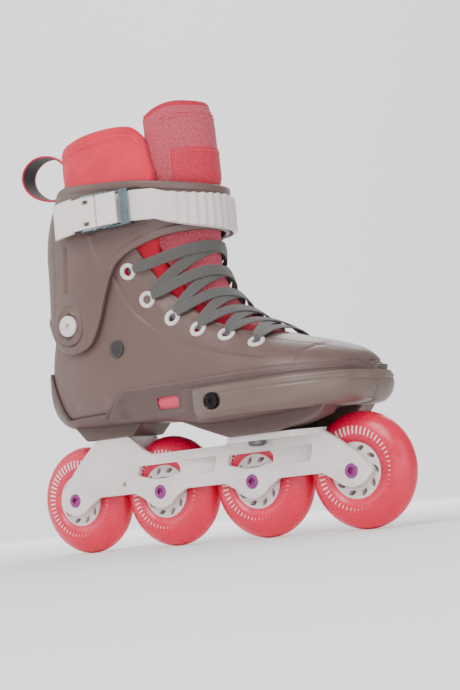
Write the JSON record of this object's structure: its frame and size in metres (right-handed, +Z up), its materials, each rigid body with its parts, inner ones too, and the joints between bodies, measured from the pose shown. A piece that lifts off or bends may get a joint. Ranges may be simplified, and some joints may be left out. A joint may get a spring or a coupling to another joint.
{
  "type": "inline skate",
  "caption": "Right-foot inline skate: hard boot with a hinged cuff, padded liner, laces, ratchet buckle and four wheels in line on a metal frame.",
  "frame": {"origin": "on the ground under the middle of the wheelbase, in the frame's middle plane", "axes": "+X towards the toe, +Y towards the inner side of the foot, +Z up"},
  "size_m": [0.3228, 0.1164, 0.3189],
  "materials": {
    "shell": "satin moulded",
    "chassis": "satin moulded",
    "slider": "satin moulded, slightly rough",
    "black_steel": "black",
    "coral_foam": "matt",
    "footbed": "matt",
    "liner": "smooth neoprene",
    "tongue": "woven mesh",
    "lace": "flat woven",
    "white_plastic": "semi-gloss",
    "badge": "gloss",
    "frame": "semi-gloss white",
    "dark_steel": "dark zinc",
    "purple_axle": "purple anodised",
    "steel": "bright",
    "patch": "stitched synthetic",
    "loop": "woven webbing",
    "buckle_metal": "steel blue",
    "white_lever": "gloss",
    "tyre": "translucent cast urethane",
    "hub": "semi-gloss"
  },
  "bodies": {
    "boot": {"upper_shell": "shell", "lower_chassis": "chassis", "lateral_slider": "slider", "medial_slider": "slider", "slider_screws": "black_steel", "shock_absorber": "coral_foam", "footbed": "footbed", "liner_foot": "liner", "tongue_lower": "tongue", "lace": "lace", "lateral_eyelets": "white_plastic", "medial_eyelets": "white_plastic", "side_badge": "badge", "frame": "frame", "frame_bolts": "dark_steel", "axles": "purple_axle", "axle_screws": "purple_axle", "bearing_spacers": "steel", "bearing_inner_rings": "steel", "pivot_bolts": "white_plastic", "pivot_nuts": "steel"},
    "cuff_body": {"cuff": "shell", "lateral_pivot_cover": "shell", "medial_pivot_cover": "shell", "liner_collar": "liner", "tongue_upper": "tongue", "tongue_patch": "patch", "pull_loop": "loop", "strap": "white_plastic", "strap_anchor": "steel", "buckle_base": "buckle_metal", "buckle_rivets": "steel", "lever_pin": "steel", "release_pin": "steel", "release_spring": "steel"},
    "lever": {"buckle_lever": "white_lever"},
    "release": {"buckle_release": "white_lever"},
    "wheel_1": {"tyre_1": "tyre", "hub_1": "hub", "bearings_1": "steel", "balls_1": "steel"},
    "wheel_2": {"tyre_2": "tyre", "hub_2": "hub", "bearings_2": "steel", "balls_2": "steel"},
    "wheel_3": {"tyre_3": "tyre", "hub_3": "hub", "bearings_3": "steel", "balls_3": "steel"},
    "wheel_4": {"tyre_4": "tyre", "hub_4": "hub", "bearings_4": "steel", "balls_4": "steel"}
  },
  "joints": [
    {"name": "wheel_1_spin", "type": "hinge", "parent": "boot", "child": "wheel_1", "pos_m": [-0.1215, 0, 0.04], "axis": [0, 1, 0], "continuous": true},
    {"name": "wheel_2_spin", "type": "hinge", "parent": "boot", "child": "wheel_2", "pos_m": [-0.0405, 0, 0.04], "axis": [0, 1, 0], "continuous": true},
    {"name": "wheel_3_spin", "type": "hinge", "parent": "boot", "child": "wheel_3", "pos_m": [0.0405, 0, 0.04], "axis": [0, 1, 0], "continuous": true},
    {"name": "wheel_4_spin", "type": "hinge", "parent": "boot", "child": "wheel_4", "pos_m": [0.1215, 0, 0.04], "axis": [0, 1, 0], "continuous": true},
    {"name": "cuff_flex", "type": "hinge", "parent": "boot", "child": "cuff_body", "pos_m": [-0.091, 0, 0.167], "axis": [0, 1, 0], "range_deg": [-3, 8], "stiffness_Nm_per_rad": 30},
    {"name": "buckle_lever", "type": "hinge", "parent": "cuff_body", "child": "lever", "pos_m": [-0.0456, -0.05719, 0.2425], "axis": [0, 0, 1], "range_deg": [0, 95]},
    {"name": "buckle_release", "type": "hinge", "parent": "cuff_body", "child": "release", "pos_m": [-0.03711, -0.05667, 0.2425], "axis": [0, 0, -1], "range_deg": [0, 12], "stiffness_Nm_per_rad": 0.05, "springref_deg": -5.73}
  ]
}
